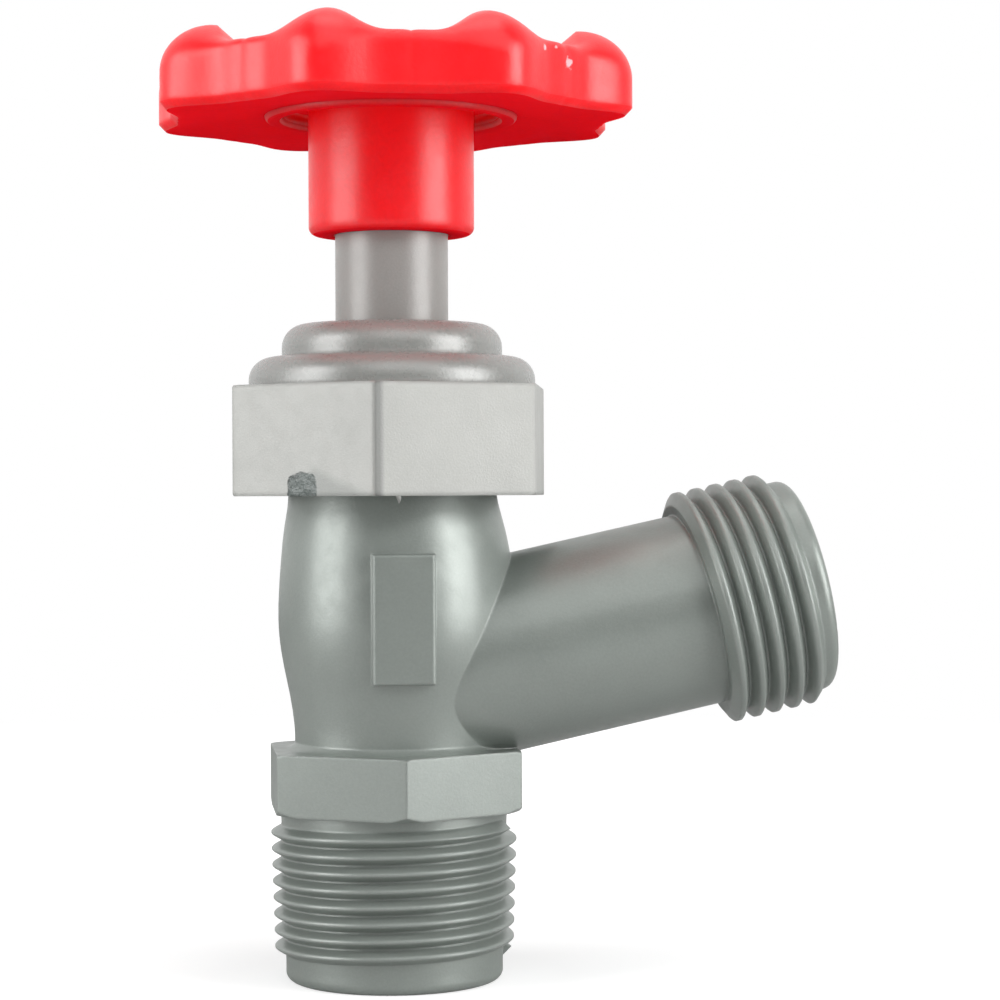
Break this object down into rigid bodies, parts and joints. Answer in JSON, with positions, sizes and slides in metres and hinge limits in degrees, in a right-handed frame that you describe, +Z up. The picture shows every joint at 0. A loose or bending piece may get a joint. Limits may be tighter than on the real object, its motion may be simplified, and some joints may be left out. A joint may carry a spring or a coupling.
{
  "type": "boiler drain valve",
  "caption": "Moulded angle valve with a tapered threaded inlet, wrench hexagon, round body, raised hose spout, hexagonal bonnet and a rising stem worked by a lobed handwheel.",
  "frame": {"origin": "on the valve axis, in the plane of the inlet end", "axes": "+Z up along the inlet, stem and handwheel axis; +X to the side that the spout leaves from"},
  "size_m": [0.0754, 0.0514, 0.1047],
  "materials": {
    "body_plastic": "moulded, satin",
    "bonnet_plastic": "moulded, fine matt grain",
    "stem_plastic": "smooth, satin",
    "wheel_plastic": "moulded, glossy",
    "gasket_rubber": "matt",
    "o_ring_rubber": "matt",
    "washer_rubber": "matt",
    "brass": "turned",
    "screw_steel": "plated"
  },
  "bodies": {
    "valve": {"valve_body": "body_plastic", "bonnet": "bonnet_plastic", "bonnet_gasket": "gasket_rubber", "stem_o_ring_lower": "o_ring_rubber", "stem_o_ring_upper": "o_ring_rubber"},
    "disc": {"disc_holder": "stem_plastic", "seat_washer": "washer_rubber", "washer_screw": "brass"},
    "wheel": {"stem": "stem_plastic", "handwheel": "wheel_plastic", "handwheel_screw": "screw_steel"}
  },
  "joints": [
    {"name": "stem_rise", "type": "slide", "parent": "valve", "child": "disc", "axis": [0, 0, 1], "range_m": [0, 0.00661]},
    {"name": "wheel_turn", "type": "hinge", "parent": "disc", "child": "wheel", "pos_m": [0, 0, 0.0334], "axis": [0, 0, 1], "range_deg": [0, 936]}
  ],
  "couplings": [
    {"joint": "stem_rise", "follows": "wheel_turn", "m_per_rad": 0.00040425}
  ]
}
